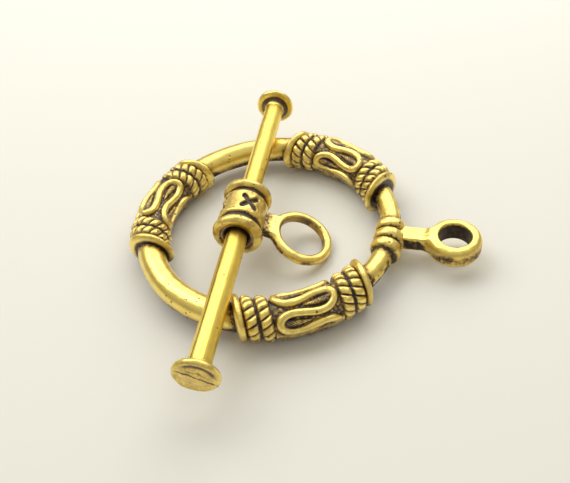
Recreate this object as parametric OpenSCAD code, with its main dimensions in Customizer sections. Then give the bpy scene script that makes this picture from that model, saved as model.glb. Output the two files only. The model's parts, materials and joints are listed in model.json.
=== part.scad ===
// Toggle clasp: a cast ring with an eye, and a cast bar with a loop that lies across it.
// Millimetres. The origin is on the surface that the clasp lies on, below the middle of the ring.
// +X points to the eye, +Z up.

/* [Ring] */
// Radius of the ring's centre line
ring_r = 9; // [8.8:0.1:11]
// Diameter of the ring's plain round wire
wire_d = 1.94; // [1.7:0.02:2.2]
// Diameter of the thinner wire to both sides of the connector
connector_wire_d = 1.5; // [1.4:0.02:1.94]

/* [Sleeves] */
// Angle from the eye to the middle of the far sleeve
far_sleeve_at = 60.5; // [57:0.5:63]
// Angle from the eye to the middle of the left sleeve
left_sleeve_at = 177; // [170:0.5:182]
// Angle from the eye to the middle of the near sleeve
near_sleeve_at = -60; // [-61:0.5:-57]
// How far a sleeve's bands lie parallel to each other instead of square to the ring, as a share
band_lean = 0.85; // [0:0.05:1]
// Diameter over a sleeve's plain end rims
rim_d = 3.16; // [3.1:0.02:3.5]
// Width of an end rim
rim_w = 0.66; // [0.5:0.02:0.7]
// Diameter over the rope bands
rope_d = 2.94; // [2.8:0.02:3]
// Width of one rope band
rope_w = 0.94; // [0.8:0.02:0.96]
// Number of strands seen round a rope band
rope_strands = 14; // [10:1:16]
// Depth of the lines between the strands, as a share of the rope's height
strand_cut = 0.5; // [0.3:0.05:0.7]
// Diameter at the bottom of the grooves beside the ropes
groove_d = 2.46; // [2.42:0.02:2.6]
// Length of the scroll panel, measured on the ring's centre line
panel_len = 4.6; // [4:0.02:4.8]
// Diameter of the scroll panel's sunk floor
floor_d = 2.36; // [2.3:0.02:2.4]

/* [Scroll] */
// Diameter over the raised scroll wire
scroll_d = 3.12; // [3.04:0.02:3.14]
// Width of the raised scroll wire
scroll_w = 0.48; // [0.34:0.02:0.5]
// Number of waves that the scroll makes round a sleeve
scroll_waves = 4; // [3:1:5]
// Largest turn of the scroll away from the direction round the sleeve
scroll_swing = 108; // [96:1:112]
// Angle round the sleeve, from the top outwards, of a loop that closes at its first end
scroll_roll = -28; // [-90:1:90]
// Height of the teardrops above the panel's floor
drop_h = 0.26; // [0.15:0.01:0.34]
// Length of a teardrop
drop_len = 1.2; // [0.8:0.05:1.3]
// Width of a teardrop
drop_w = 0.34; // [0.2:0.02:0.4]
// Distance from the panel's middle to the middle of a teardrop
drop_at = 1.03; // [0.8:0.01:1.1]

/* [Connector and eye] */
// Angle from the eye to the middle of the wound beads
beads_at = -2.5; // [-4:0.5:2]
// Number of wound beads at the connector
bead_count = 3; // [2:1:3]
// Diameter over a connector bead
bead_d = 2.3; // [2.2:0.02:2.8]
// Width of a connector bead
bead_w = 1.1; // [0.9:0.02:1.1]
// Width of the neck, along the ring
neck_w = 1.2; // [0.9:0.02:1.6]
// Height of the neck
neck_h = 1.12; // [0.8:0.02:1.2]
// Distance from the ring's centre line to the middle of the eye
eye_reach = 4.55; // [4.2:0.05:5.5]
// Outer diameter of the eye
eye_d = 3.76; // [3.5:0.02:4.4]
// Diameter of the eye's hole
eye_hole_d = 2.28; // [1.8:0.02:2.5]
// Height of the eye
eye_h = 1.56; // [1.2:0.02:1.7]
// Radius of the eye's outer edges
eye_edge = 0.44; // [0.3:0.01:0.48]

/* [Bar] */
// Length of the bar over its end discs
bar_len = 27.9; // [26:0.1:34]
// Diameter of the bar's shaft
shaft_d = 1.54; // [1.3:0.02:1.8]
// Diameter of an end disc
disc_d = 3.1; // [2.6:0.02:3.4]
// Thickness of an end disc's edge
disc_t = 0.5; // [0.4:0.02:0.7]
// Length of the flare behind an end disc
flare_len = 0.5; // [0.3:0.05:0.9]
// Diameter of the flare where it meets the disc
flare_d = 2.2; // [1.9:0.02:2.3]
// Width of the crease round a disc's face
crease_w = 0.3; // [0.2:0.02:0.36]

/* [Barrel] */
// Diameter over the barrel's end beads
barrel_bead_d = 3.6; // [3.5:0.02:3.9]
// Width of an end bead
barrel_bead_w = 0.78; // [0.6:0.02:0.9]
// Diameter of the barrel's plain body
body_d = 3.3; // [3.2:0.02:3.44]
// Length of the plain body
body_len = 2.16; // [2:0.02:2.6]
// Diameter at the bottom of the barrel's two grooves
barrel_groove_d = 2.9; // [2.7:0.02:3]
// Width of a groove
barrel_groove_w = 0.42; // [0.3:0.02:0.6]
// Depth of the dish in each end of the barrel
dish_depth = 0.42; // [0.2:0.02:0.5]
// Length of each stroke of a punched x mark
mark_len = 1.5; // [0.8:0.02:1.6]
// Width of each stroke of a punched x mark
mark_w = 0.34; // [0.16:0.02:0.4]
// Depth of a punched mark
mark_depth = 0.16; // [0.08:0.01:0.24]

/* [Loop] */
// Distance from the bar's axis to the middle of the loop
loop_reach = 4.62; // [4.4:0.02:5.4]
// Outer diameter of the loop
loop_d = 4.78; // [4.5:0.02:5]
// Diameter of the loop's hole
loop_hole_d = 3.4; // [2.8:0.02:3.5]
// Thickness of the loop
loop_t = 0.78; // [0.66:0.02:1]
// Radius of the loop's outer edges
loop_edge = 0.3; // [0.2:0.01:0.32]
// Width of the neck between the barrel and the loop, along the bar
loop_neck_w = 1.9; // [1.3:0.05:2.1]
// Thickness of that neck
loop_neck_h = 0.72; // [0.5:0.02:0.76]

/* [How the bar lies] */
// Distance of the bar's middle from the ring's middle, away from the eye
bar_back = 1.5; // [1:0.1:1.8]
// Distance of the bar's middle from the ring's middle, towards the near end
bar_near = 1.2; // [0:0.1:2]
// Turn of the bar on the ring, seen from above
bar_turn = 4.3; // [2:0.1:6]
// Gap between the shaft and the ring wire that it lies on
rest_gap = 0.05; // [0.02:0.01:0.1]
// Gap between the loop's edge and the surface below
floor_gap = 0.04; // [0.02:0.01:0.1]

/* [Hidden] */
$fn = 64;

GOLD = "#d9b24a";
// How far one form reaches into the next where they are joined
LAP = 0.06;
// Steps along one wave of the scroll, an even number
WAVE_STEPS = 20;
// Points round a rope band for each strand, the first of them in the line between two strands
STRAND_POINTS = 3;
// How much of a loop's width a teardrop may take
DROP_ROOM = 0.6;
// Length over which a neck widens before it meets its eye or loop
NECK_BLEND = 0.3;
// How wide a neck is where it ends inside that wall, as a share of what the wall can hide
NECK_SPREAD = 0.88;
// Distance between two beads of the connector, as a share of a bead's width
BEAD_PITCH = 0.94;
// Room between the scroll's loops and the ropes beside the panel
SCROLL_ROOM = 0.06;
// Strands that a line between two strands moves on across one rope band
STRAND_LEAN = 2 / STRAND_POINTS;
// A rope band from its first edge: place across the band and height, each as a share of the whole
ROPE = [[0, 0], [0.24, 1], [0.76, 1]];
// An end rim in the same way
RIM = [[0, 0], [0.15, 0.7], [0.5, 1], [0.85, 0.7], [1, 0]];
// The scroll wire's back: place across the wire, and height above the panel's floor, as shares
BACK = [[0.5, 0], [0.4, 0.7], [0, 1], [-0.4, 0.7], [-0.5, 0]];

ring_z = rim_d / 2;
ropes_len = 2 * rope_w;
sleeve_angles = [far_sleeve_at, left_sleeve_at, near_sleeve_at + 360];

barrel_len = body_len + 2 * barrel_groove_w + 2 * barrel_bead_w;
bar_z = ring_z + wire_d / 2 + rest_gap + shaft_d / 2;
// The bar has rolled over until the round edge of its loop comes down to the surface
tip_reach = loop_reach + loop_d / 2 - loop_edge;
tip_drop = loop_t / 2 - loop_edge;
loop_tilt = asin((bar_z - floor_gap - loop_edge) / norm([tip_reach, tip_drop]))
  - atan2(tip_drop, tip_reach);

// Degrees round the ring for a length on its centre line
function turn(length) = length / ring_r * 180 / PI;

// A place on the ring: u along the centre line from the sleeve's middle, v round the section in
// degrees from the top outwards, r out from the centre line. All places of one u lie in a plane,
// which turns with u by only a part of the ring's own turn.
function at(u, v, r) =
  let (out = ring_r + r * sin(v), straight = band_lean * turn(u),
    angle = turn(u) - straight + asin(ring_r * sin(straight) / out))
  [out * cos(angle), out * sin(angle), r * cos(v)];

// The scroll's path: its direction swings as a sine of the way travelled, as a river's bends do
wave_turns = [for (i = [0 : WAVE_STEPS]) scroll_swing * sin(360 * (i + 0.5) / WAVE_STEPS)];
wave = [for (i = 0, a = 0, b = 0; i <= WAVE_STEPS;
  a = a + cos(wave_turns[i]), b = b + sin(wave_turns[i]), i = i + 1) [a, b]];
wave_length = wave[WAVE_STEPS][0];
wave_height = max([for (p = wave) p[1]]);
scroll_round = PI * (scroll_d + floor_d) / 2;
scroll_reach = (panel_len - scroll_w) / 2 - SCROLL_ROOM;
scroll_steps = scroll_waves * WAVE_STEPS;

// A point of the path: share of the way round the sleeve, and place along the panel
function scroll_point(i) =
  let (turns = floor(i / WAVE_STEPS), p = wave[i - turns * WAVE_STEPS])
  [(turns + p[0] / wave_length) / scroll_waves, scroll_reach * (2 * p[1] / wave_height - 1)];

// A point of the raised wire, as place along the panel, angle round it and radius
function wire_point(i, back) =
  let (p = scroll_point(i), before = scroll_point(i - 1), after = scroll_point(i + 1),
    way = [(after[0] - before[0]) * scroll_round, after[1] - before[1]],
    side = back[0] * scroll_w * way / norm(way))
  [p[1] + side[0], scroll_roll + 360 * (p[0] - side[1] / scroll_round),
    (floor_d + back[1] * (scroll_d - floor_d)) / 2];

// The loops of the scroll lie open to one end and closed to the other. A row across a loop runs
// from the wire on one side to the wire on the other, over three points between them: the middle
// one is raised where the teardrop is.
half_wave = WAVE_STEPS / 2;
function loop_middle(end, k) = k * WAVE_STEPS + end * half_wave;
function loop_points(end, k, j) =
  let (back = BACK[end * (len(BACK) - 1)], middle = loop_middle(end, k),
    low = wire_point(middle - j, back), high = wire_point(middle + j, back),
    centre = (low[1] + high[1]) / 2,
    half = min(DROP_ROOM * (high[1] - low[1]) / 2, drop_w / floor_d * 180 / PI),
    off = (abs(low[0]) - drop_at) / (drop_len / 2),
    height = low[0] * (end - 0.5) > 0 ? drop_h * max(0, 1 - pow(off, 2)) : 0)
  [[low[0], centre - half, floor_d / 2], [low[0], centre, floor_d / 2 + height],
    [low[0], centre + half, floor_d / 2]];

// Rings of points from the panel's edge over two rope bands and the rim: place along the sleeve,
// height above the grooves, and height in the lines between the strands
end_rings = concat(
  [for (band = [0, 1], p = ROPE) [(band + p[0]) * rope_w, p[1] * (rope_d - groove_d) / 2,
    (1 - strand_cut) * p[1] * (rope_d - groove_d) / 2]],
  [for (p = RIM) [ropes_len + p[0] * rim_w, p[1] * (rim_d - groove_d) / 2,
    p[1] * (rim_d - groove_d) / 2]]);
rope_points = STRAND_POINTS * rope_strands;

// One of those rings. The lines between the strands lean the same way from the panel at both ends.
function end_ring(end, place) = [for (i = [0 : rope_points - 1])
  let (lean = STRAND_LEAN * min(place[0], ropes_len) / rope_w)
  [end * (panel_len / 2 + place[0]), (i / STRAND_POINTS + lean) * 360 / rope_strands,
    groove_d / 2 + place[i % STRAND_POINTS == 0 ? 2 : 1]]];

// The order of the sleeve's points: first end, second end, wire, and rows of the loops
ring_count = len(end_rings);
second_end = ring_count * rope_points;
wire_start = 2 * second_end;
rows_start = wire_start + scroll_steps * len(BACK);
function wire_index(i, m) = wire_start + (i + scroll_steps) % scroll_steps * len(BACK) + m;
function row(end, k, j) =
  let (m = end * (len(BACK) - 1), middle = loop_middle(end, k),
    first = rows_start + 3 * ((end * scroll_waves + k) * half_wave + j - 1))
  [wire_index(middle - j, m), first, first + 1, first + 2, wire_index(middle + j, m)];

// The points of an end's innermost ring, or of the loops' open ends, in order round the sleeve from
// about the angle given
function panel_edge(end, from) =
  let (skip = round(from / 360 * rope_points) + 2 * rope_points)
  [for (i = [0 : rope_points - 1])
    (end > 0 ? second_end : second_end - rope_points) + (i + skip) % rope_points];
function open_ends(end) = [for (k = [0 : scroll_waves - 1], m = [0 : 3]) row(end, k, half_wave)[m]];

// Triangles between two rows of as many points, or between two closed rings of different counts.
// The first lies at the lower place along the sleeve.
function between_rows(a, b) = [for (m = [0 : len(a) - 2], half = [0, 1])
  half == 0 ? [a[m], b[m], b[m + 1]] : [a[m], b[m + 1], a[m + 1]]];
function between_rings(a, b) = let (p = len(a), q = len(b)) concat(
  [for (j = [0 : q - 1]) [a[floor((j + 0.5) * p / q + 0.5) % p], b[j], b[(j + 1) % q]]],
  [for (i = [0 : p - 1]) [a[i], b[ceil((i + 0.5) * q / p - 0.5) % q], a[(i + 1) % p]]]);
function ring_index(start, ring) =
  [for (i = [0 : rope_points]) start + ring * rope_points + i % rope_points];

// Outline of a disc with a round edge, as half of its section
module edge_profile(radius, width) {
  translate([0, -width / 2]) square([radius - width / 2, width]);
  translate([radius - width / 2, 0]) circle(d = width);
}

// A disc with a round edge, threaded on the ring's wire
module bead_on_ring(angle, d, width) {
  rotate([0, 0, angle]) translate([ring_r, 0, 0]) rotate([90, 0, 0])
    rotate_extrude() edge_profile(d / 2, width);
}

// An eye with a straight-walled hole and round outer edges, on a flat neck from the origin along +X
module eyelet(reach, d, hole_d, height, edge, neck_width, neck_height) {
  meet = (d + hole_d) / 4;
  spread = NECK_SPREAD * sqrt(pow(d / 2, 2) - pow(meet, 2));
  difference() {
    union() {
      translate([reach, 0, 0]) rotate_extrude() {
        translate([0, -height / 2]) square([d / 2 - edge, height]);
        translate([0, edge - height / 2]) square([d / 2, height - 2 * edge]);
        for (side = [-1, 1])
          translate([d / 2 - edge, side * (height / 2 - edge)]) circle(r = edge);
      }
      translate([0, 0, -neck_height / 2]) linear_extrude(neck_height) {
        translate([0, -neck_width / 2]) square([reach - meet, neck_width]);
        polygon([[reach - d / 2 - NECK_BLEND, -neck_width / 2], [reach - meet, -spread],
          [reach - meet, spread], [reach - d / 2 - NECK_BLEND, neck_width / 2]]);
      }
    }
    translate([reach, 0, 0]) cylinder(d = hole_d, h = 2 * height, center = true);
  }
}

// A cast sleeve as one closed surface: rims, rope bands, and the scroll panel between them
module sleeve() {
  places = concat(
    [for (g = [0 : ring_count - 1]) end_ring(-1, end_rings[ring_count - 1 - g])],
    [for (place = end_rings) end_ring(1, place)],
    [for (i = [0 : scroll_steps - 1]) [for (back = BACK) wire_point(i, back)]],
    [for (end = [0, 1], k = [0 : scroll_waves - 1], j = [1 : half_wave]) loop_points(end, k, j)]);
  last = second_end + (ring_count - 1) * rope_points;
  faces = concat(
    [for (start = [0, second_end], g = [0 : ring_count - 2])
      each between_rows(ring_index(start, g), ring_index(start, g + 1))],
    [for (i = [1 : rope_points - 2]) [0, i, i + 1]],
    [for (i = [1 : rope_points - 2]) [last, last + i + 1, last + i]],
    [for (i = [0 : scroll_steps - 1]) each between_rows(
      [for (m = [0 : len(BACK) - 1]) wire_index(i, m)],
      [for (m = [0 : len(BACK) - 1]) wire_index(i + 1, m)])],
    [for (k = [0 : scroll_waves - 1], j = [1 : half_wave - 1])
      each concat(between_rows(row(0, k, j), row(0, k, j + 1)),
        between_rows(row(1, k, j + 1), row(1, k, j)))],
    [for (k = [0 : scroll_waves - 1], m = [0 : 3])
      [wire_index(loop_middle(0, k), 0), row(0, k, 1)[m], row(0, k, 1)[m + 1]]],
    [for (k = [0 : scroll_waves - 1], m = [0 : 3])
      [row(1, k, 1)[m], wire_index(loop_middle(1, k), len(BACK) - 1), row(1, k, 1)[m + 1]]],
    between_rings(open_ends(0), panel_edge(1, scroll_roll - 180 / scroll_waves)),
    between_rings(panel_edge(-1, scroll_roll), open_ends(1)));
  polyhedron([for (ring = places, p = ring) at(p[0], p[1], p[2])], faces);
}

// Plain wire from inside each sleeve to inside the next, the last one past the connector
module plain_wires() {
  half = turn(panel_len / 2 + rope_w);
  for (i = [0 : 2]) {
    next = i < 2 ? sleeve_angles[i + 1] : sleeve_angles[0] + 360;
    rotate_extrude(angle = next - sleeve_angles[i] - 2 * half, start = sleeve_angles[i] + half)
      translate([ring_r, 0]) circle(d = i < 2 ? wire_d : connector_wire_d);
  }
}

// The beads wound round the ring where the eye's neck leaves it
module connector_beads() {
  for (i = [0 : bead_count - 1])
    bead_on_ring(beads_at + (i - (bead_count - 1) / 2) * turn(BEAD_PITCH * bead_w), bead_d, bead_w);
}

module toggle_ring() {
  color(GOLD) translate([0, 0, ring_z]) {
    for (angle = sleeve_angles) rotate([0, 0, angle]) sleeve();
    plain_wires();
    connector_beads();
    translate([ring_r, 0, 0])
      eyelet(eye_reach, eye_d, eye_hole_d, eye_h, eye_edge, neck_w, neck_h);
  }
}

// Half of an end disc's section: a round edge, a flare behind it and a crease round its face
module disc_profile() {
  back = bar_len / 2 - disc_t;
  difference() {
    union() {
      translate([0, back + disc_t / 2]) edge_profile(disc_d / 2, disc_t);
      polygon([[0, back - flare_len], [shaft_d / 2 - LAP, back - flare_len],
        [flare_d / 2, back + LAP], [0, back + LAP]]);
    }
    translate([disc_d / 2 - disc_t, bar_len / 2]) circle(d = crease_w);
  }
}

// Half of the barrel's section: plain body, groove and bead, with a dish round the shaft
module barrel_profile() {
  end = barrel_len / 2;
  core = end - barrel_bead_w / 2;
  lip = (barrel_bead_d - barrel_bead_w) / 2;
  square([body_d / 2, body_len / 2]);
  square([barrel_groove_d / 2, end - barrel_bead_w + LAP]);
  difference() {
    translate([0, core]) edge_profile(barrel_bead_d / 2, barrel_bead_w);
    polygon([[0, end + LAP], [lip + LAP, end + LAP], [shaft_d / 2 + LAP, end - dish_depth],
      [0, end - dish_depth]]);
  }
}

// Everything of the bar that is round about its axis
module turned_bar() {
  rotate([-90, 0, 0]) rotate_extrude() {
    translate([0, -bar_len / 2 + disc_t / 2]) square([shaft_d / 2, bar_len - disc_t]);
    for (end = [0, 1]) mirror([0, end]) {
      disc_profile();
      barrel_profile();
    }
  }
}

// A punched mark: two crossed strokes, cut into the barrel's side that faces +X
module punched_mark() {
  for (lean = [-45, 45])
    translate([body_d / 2 + mark_w - mark_depth, 0, 0]) rotate([lean, 0, 0])
      cube([2 * mark_w, mark_len, mark_w], center = true);
}

module toggle_bar() {
  color(GOLD) translate([-bar_back, -bar_near, bar_z]) rotate([0, loop_tilt, bar_turn]) {
    difference() {
      union() {
        turned_bar();
        eyelet(loop_reach, loop_d, loop_hole_d, loop_t, loop_edge, loop_neck_w, loop_neck_h);
      }
      for (around = [90, 180, 270]) rotate([0, around, 0]) punched_mark();
    }
  }
}

toggle_ring();
toggle_bar();
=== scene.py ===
"""Looks of a toggle clasp in antique gold: a cast ring with an eye, and a cast bar with a loop.

Sizes are in millimetres and turn to metres when a mesh is made. The origin is on the surface that
the clasp lies on, below the middle of the ring. +X points to the eye, +Z up.
"""

import json
import logging
import math
from dataclasses import dataclass
from enum import Enum

import bpy
import numpy as np
from mathutils import Matrix, Vector


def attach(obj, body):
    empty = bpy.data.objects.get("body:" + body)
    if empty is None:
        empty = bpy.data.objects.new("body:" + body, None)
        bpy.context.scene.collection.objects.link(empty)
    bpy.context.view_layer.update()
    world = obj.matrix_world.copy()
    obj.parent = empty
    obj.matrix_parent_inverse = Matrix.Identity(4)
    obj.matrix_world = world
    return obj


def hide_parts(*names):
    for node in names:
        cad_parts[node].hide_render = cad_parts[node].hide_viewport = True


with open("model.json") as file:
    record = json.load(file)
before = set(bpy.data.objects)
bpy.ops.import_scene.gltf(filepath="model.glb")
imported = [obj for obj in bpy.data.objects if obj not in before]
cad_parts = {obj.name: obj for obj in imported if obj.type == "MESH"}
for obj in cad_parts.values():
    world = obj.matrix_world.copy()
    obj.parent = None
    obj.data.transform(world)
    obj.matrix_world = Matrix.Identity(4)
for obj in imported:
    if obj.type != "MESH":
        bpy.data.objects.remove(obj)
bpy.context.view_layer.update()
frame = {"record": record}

Array = np.ndarray
LOG = logging.getLogger("toggle_clasp")
MM = 0.001
FULL_TURN = 2.0 * math.pi


class Body(Enum):
    """The two rigid bodies of the clasp."""

    RING = "ring"
    BAR = "bar"


class Slot(Enum):
    """The record's material slots."""

    RING = "antique_gold_ring"
    BAR = "antique_gold_bar"


class Holed(Enum):
    """The two holed ends of the clasp, which differ in where their patina is left and where shade is
    painted.
    """

    RING_EYE = "eye"
    BAR_LOOP = "loop"


def smooth(value: Array) -> Array:
    """0 below 0, 1 above 1, and the curve 3x^2 - 2x^3 between them."""
    share = np.clip(value, 0.0, 1.0)
    return share * share * (3.0 - 2.0 * share)


def rise(value: Array, start: float | Array, width: float) -> Array:
    """0 up to the start, 1 from a width past it on, and smooth between them."""
    return smooth((value - start) / width)


def fall(value: Array, end: float | Array, width: float) -> Array:
    """1 up to a width before the end, 0 from the end on, and smooth between them."""
    return smooth((end - value) / width)


def bell(distance: Array, width: float) -> Array:
    """1 at a distance of 0, falling as a Gauss curve of that width."""
    return np.exp(-((distance / width) ** 2))


def wrapped(angle: Array) -> Array:
    """The same angle between minus half a turn and half a turn."""
    return (angle + math.pi) % FULL_TURN - math.pi


def unevenness(points: Array, size: float, seed: int) -> Array:
    """Soft waviness of a hand-finished casting: eight plane waves in chance directions, added up.

    Args:
        points: places in millimetres, three numbers in the last direction.
        size: usual length of a wave, in millimetres.
        seed: picks the directions, lengths and phases.

    Returns:
        An array without the last direction, mostly between -1 and 1.
    """
    waves, shortest, longest = 8, 0.7, 1.5
    chance = np.random.default_rng(seed)
    directions = chance.normal(size=(waves, 3))
    directions /= np.linalg.norm(directions, axis=1, keepdims=True)
    rates = FULL_TURN / (size * chance.uniform(shortest, longest, waves))
    phases = chance.uniform(0.0, FULL_TURN, waves)
    return np.sin(points @ (directions * rates[:, None]).T + phases).sum(-1) / math.sqrt(waves)


def clouds(points: Array, size: float, seed: int, cover: float = 0.6, contrast: float = 0.6) -> Array:
    """Soft patches between 0 and 1, as patina is left in clouds.

    Args:
        points: places in millimetres.
        size: usual length of a patch, in millimetres.
        seed: picks where the patches lie.
        cover: value where the unevenness is 0. More of it gives more patches.
        contrast: how hard the patches' edges are.

    Returns:
        An array without the last direction.
    """
    return smooth(cover + contrast * unevenness(points, size, seed))


@dataclass(frozen=True)
class Lumps:
    """How uneven a casting's skin is: broad swells with finer ones on them, in millimetres.

    broad and fine: height of the swells.
    broad_size and fine_size: usual length of one.
    apart: how far the fine swells' seed lies past that of the broad ones.
    """

    broad: float
    broad_size: float
    fine: float
    fine_size: float
    apart: int = 1

    def height(self, points: Array, seed: int) -> Array:
        """Height of the skin over its plain form at each of the points."""
        return (self.broad * unevenness(points, self.broad_size, seed)
                + self.fine * unevenness(points, self.fine_size, seed + self.apart))


@dataclass(frozen=True)
class Tone:
    """What patina, and in some places painted shade, does to one kind of place: how much darker and how
    much rougher it is there.
    """

    darker: float = 0.0
    rougher: float = 0.0


def toned(bright: float | Array, grit: float | Array, *places: tuple[Tone, Array]) -> tuple[Array, Array]:
    """Wear and grit of a surface, from those of its open metal and the places where patina is left and
    where shade is painted.

    Args:
        bright: wear of the open metal.
        grit: grit of the open metal.
        places: each place's tone, and how far each point belongs to it, from 0 to 1.

    Returns:
        Wear and grit for each point.
    """
    wear_and_shade = bright - sum(tone.darker * where for tone, where in places)
    return wear_and_shade, grit + sum(tone.rougher * where for tone, where in places)


def blurred(height: Array, row_reach: int, column_reach: int) -> Array:
    """Mean height round each grid point: a bell in both directions, wrapped round the columns.

    Args:
        height: values in rows and columns.
        row_reach: rows that the bell reaches to each side.
        column_reach: columns that it reaches to each side.

    Returns:
        The smoothed values, in the same form.
    """
    narrowest = 0.5

    def kernel(reach: int) -> Array:
        """Weights of a bell that reach that many steps, adding up to 1."""
        weights = bell(np.arange(-reach, reach + 1), max(reach / 2.0, narrowest))
        return weights / weights.sum()

    columns = sum(w * np.roll(height, k - column_reach, axis=1)
                  for k, w in enumerate(kernel(column_reach)))
    padded = np.pad(columns, ((row_reach, row_reach), (0, 0)), mode="edge")
    return sum(w * padded[k:k + len(height)] for k, w in enumerate(kernel(row_reach)))


@dataclass(frozen=True)
class Shade:
    """How hollows are told from crests, and how much darker they are.

    darker: how much darker a hollow is for each millimetre that it lies below what is round it.
    rows and columns: how many of the grid are looked at to each side.
    """

    darker: float
    rows: int
    columns: int = 1

    def wear_and_shade(self, height: Array) -> Array:
        """What the shade adds to the wear: less than 0 in hollows, more on crests."""
        return self.darker * (height - blurred(height, self.rows, self.columns))


def arc(centre: tuple[float, float], radius: float, start: float, end: float, steps: int) -> Array:
    """Points on an arc in a section, as (place along the axis, radius), angles in degrees."""
    angle = np.radians(np.linspace(start, end, steps))
    return np.stack([centre[0] + radius * np.cos(angle), centre[1] + radius * np.sin(angle)], -1)


def evenly(points: Array, step: float) -> Array:
    """The same open polyline with its points an even step apart, measured along it.

    Args:
        points: the polyline's points, one in each row.
        step: distance between two points of the new one, as near as a whole number of them allows.

    Returns:
        The new points, from the same first to the same last one.
    """
    lengths = np.linalg.norm(np.diff(points, axis=0), axis=1)
    travelled = np.concatenate([[0.0], np.cumsum(lengths)])
    wanted = np.linspace(0.0, travelled[-1], max(2, round(travelled[-1] / step)))
    return np.stack([np.interp(wanted, travelled, points[:, k]) for k in range(points.shape[1])], -1)


def turned_grid(section: Array, columns: int) -> tuple[Array, Array, Array]:
    """A section turned about its axis, as grids with a row for each point of the section.

    Args:
        section: points as (place along the axis, radius).
        columns: how many places the full turn has.

    Returns:
        The places along the axis, the angles round it and the radii.
    """
    round_axis = np.linspace(0.0, FULL_TURN, columns, endpoint=False)
    along, turned = np.meshgrid(section[:, 0], round_axis, indexing="ij")
    return along, turned, np.repeat(section[:, 1:], columns, axis=1)


def direction(azimuth: float, elevation: float) -> Vector:
    """The direction with that azimuth, from -Y towards +X, and that elevation, both in degrees."""
    turn, lift = math.radians(azimuth), math.radians(elevation)
    return Vector((math.sin(turn) * math.cos(lift), -math.cos(turn) * math.cos(lift), math.sin(lift)))


def add_object(name: str, data: bpy.types.ID) -> bpy.types.Object:
    """Makes an object and links it to the scene.

    Args:
        name: the object's name.
        data: its mesh, lamp or camera.

    Returns:
        The object, at the origin.
    """
    made = bpy.data.objects.new(name, data)
    bpy.context.scene.collection.objects.link(made)
    return made


@dataclass(frozen=True)
class Surface:
    """A closed surface on a grid whose columns run round and join up.

    points: places in millimetres, rows by columns by three.
    wear: 0 where the dark patina is whole, 1 where the gold is worn bright. It holds painted shade too, as
    lower values.
    grit: 0 where the metal is smooth, 1 where it is as rough as it was cast or soldered.
    rows_join: whether the last row joins the first. Otherwise a fan of faces closes each end.
    """

    points: Array
    wear_and_shade: Array
    grit: Array
    rows_join: bool = False

    def faces(self) -> tuple[Array, Array]:
        """The faces between the grid's rows and columns.

        Returns:
            Corner numbers of the four-sided faces, and of the triangles that close the ends.
        """
        rows, columns = self.wear_and_shade.shape
        index = np.arange(rows * columns).reshape(rows, columns)
        lower = index if self.rows_join else index[:-1]
        upper = np.roll(index, -1, axis=0) if self.rows_join else index[1:]
        corners = [lower, np.roll(lower, -1, axis=1), np.roll(upper, -1, axis=1), upper]
        quads = np.stack(corners, -1).reshape(-1, 4)
        if self.rows_join:
            return quads, np.zeros((0, 3), int)
        first, last = rows * columns, rows * columns + 1
        fans = [np.stack([np.roll(index[0], -1), index[0], np.full(columns, first)], -1),
                np.stack([index[-1], np.roll(index[-1], -1), np.full(columns, last)], -1)]
        return quads, np.concatenate(fans)

    def build(self, name: str, material: bpy.types.Material, body: Body, slot: Slot) -> bpy.types.Object:
        """Makes the mesh, turns its faces outwards and lets it ride on its body.

        Args:
            name: the piece's name.
            material: its finish.
            body: the body that it moves with.
            slot: the record's material slot. Not used.

        Returns:
            The finished piece, with its object at the origin.
        """
        flat = self.points.reshape(-1, 3)
        wear_and_shade, grit = self.wear_and_shade.ravel(), self.grit.ravel()
        quads, triangles = self.faces()
        if not self.rows_join:
            flat = np.concatenate([flat, [self.points[0].mean(0), self.points[-1].mean(0)]])
            wear_and_shade = np.concatenate([wear_and_shade, [self.wear_and_shade[0].mean(), self.wear_and_shade[-1].mean()]])
            grit = np.concatenate([grit, [self.grit[0].mean(), self.grit[-1].mean()]])
        halves = np.concatenate([quads[:, :3], quads[:, [0, 2, 3]], triangles])
        a, b, c = (flat[halves[:, k]] for k in range(3))
        if np.einsum("ij,ij->i", a, np.cross(b, c)).sum() < 0.0:
            quads, triangles = quads[:, ::-1], triangles[:, ::-1]

        mesh = bpy.data.meshes.new(name)
        mesh.vertices.add(len(flat))
        mesh.vertices.foreach_set("co", (flat * MM).ravel())
        mesh.loops.add(quads.size + triangles.size)
        mesh.loops.foreach_set("vertex_index", np.concatenate([quads.ravel(), triangles.ravel()]))
        sizes = np.concatenate([np.full(len(quads), 4), np.full(len(triangles), 3)])
        mesh.polygons.add(len(sizes))
        mesh.polygons.foreach_set("loop_start", np.concatenate([[0], np.cumsum(sizes)[:-1]]))
        mesh.update(calc_edges=True)
        mesh.polygons.foreach_set("use_smooth", np.ones(len(sizes), bool))
        for label, values in (("wear_and_shade", wear_and_shade), ("grit", grit)):
            attribute = mesh.attributes.new(label, "FLOAT", "POINT")
            attribute.data.foreach_set("value", np.clip(values, 0.0, 1.0).astype(np.float32))
        mesh.materials.append(material)
        mesh.validate()

        piece = add_object(name, mesh)
        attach(piece, body.value)
        LOG.info("%s: %d points, %d faces", name, len(flat), len(sizes))
        return piece


def linear_colour(hex_colour: str) -> tuple[float, float, float, float]:
    """Blender's linear colour for an sRGB hex colour.

    Args:
        hex_colour: the colour as a hash and six hex digits.

    Returns:
        Red, green, blue and an alpha of 1.
    """
    parts = [int(hex_colour[k:k + 2], 16) / 255.0 for k in (1, 3, 5)]
    linear = [p / 12.92 if p <= 0.04045 else ((p + 0.055) / 1.055) ** 2.4 for p in parts]
    return (*linear, 1.0)


def empty_tree(owner: bpy.types.Material | bpy.types.World) -> bpy.types.NodeTree:
    """Clears the node tree of a material or a world.

    Args:
        owner: the material or world.

    Returns:
        Its tree, without any nodes.
    """
    owner.use_nodes = True
    owner.node_tree.nodes.clear()
    return owner.node_tree


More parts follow.
